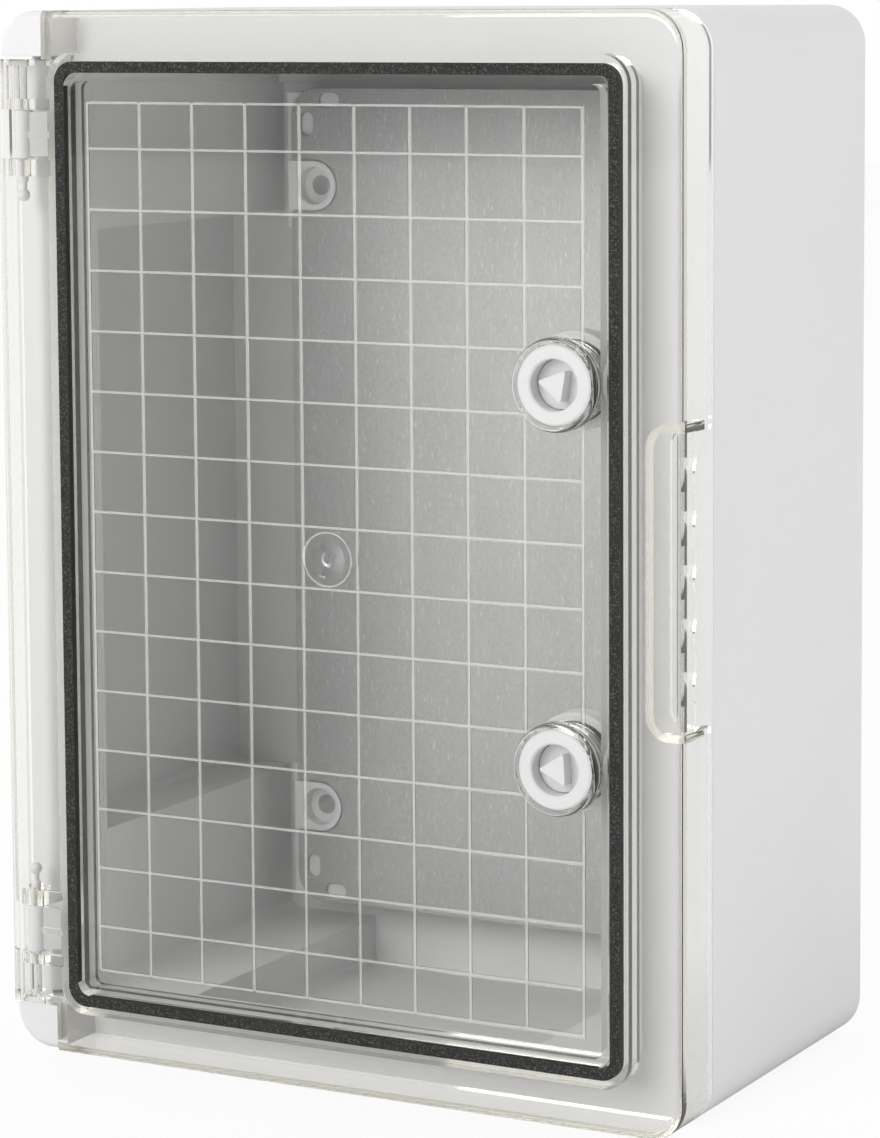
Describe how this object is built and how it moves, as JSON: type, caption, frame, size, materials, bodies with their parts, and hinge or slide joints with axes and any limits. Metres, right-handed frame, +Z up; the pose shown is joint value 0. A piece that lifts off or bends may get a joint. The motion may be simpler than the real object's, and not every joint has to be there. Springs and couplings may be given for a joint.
{
  "type": "plastic control cabinet",
  "caption": "Wall cabinet of white moulded plastic with a clear gridded door on hinge pins, triangular-key cam locks, a foam door seal and a steel mounting plate inside",
  "frame": {"origin": "centre of the wall hole pattern on the back face", "axes": "X right as seen from the front, Y towards the wall, Z up"},
  "size_m": [0.25, 0.1542, 0.35],
  "materials": {
    "base": "satin moulded",
    "clear": "clear polycarbonate",
    "plate": "galvanised",
    "foam": "foamed",
    "white": "smooth moulded",
    "rubber": "matt",
    "zinc": "zinc plated"
  },
  "bodies": {
    "base": {"base_shell": "base", "mounting_plate": "plate", "upper_hinge_pin": "white", "lower_hinge_pin": "white"},
    "door": {"door_panel": "clear", "door_gasket": "foam", "upper_lock_housing": "white", "upper_lock_seal": "rubber", "upper_lock_nut": "white", "lower_lock_housing": "white", "lower_lock_seal": "rubber", "lower_lock_nut": "white"},
    "upper_lock": {"upper_lock_spindle": "white", "upper_lock_ring": "rubber", "upper_lock_cam": "white", "upper_lock_washer": "zinc", "upper_lock_screw": "zinc"},
    "lower_lock": {"lower_lock_spindle": "white", "lower_lock_ring": "rubber", "lower_lock_cam": "white", "lower_lock_washer": "zinc", "lower_lock_screw": "zinc"}
  },
  "joints": [
    {"name": "door_hinge", "type": "hinge", "parent": "base", "child": "door", "pos_m": [-0.118, -0.143, 0], "axis": [0, 0, -1], "range_deg": [0, 120]},
    {"name": "upper_lock_turn", "type": "hinge", "parent": "door", "child": "upper_lock", "pos_m": [0.083, -0.14, 0.06], "axis": [0, 1, 0], "range_deg": [0, 180]},
    {"name": "lower_lock_turn", "type": "hinge", "parent": "door", "child": "lower_lock", "pos_m": [0.083, -0.14, -0.06], "axis": [0, 1, 0], "range_deg": [0, 180]}
  ]
}
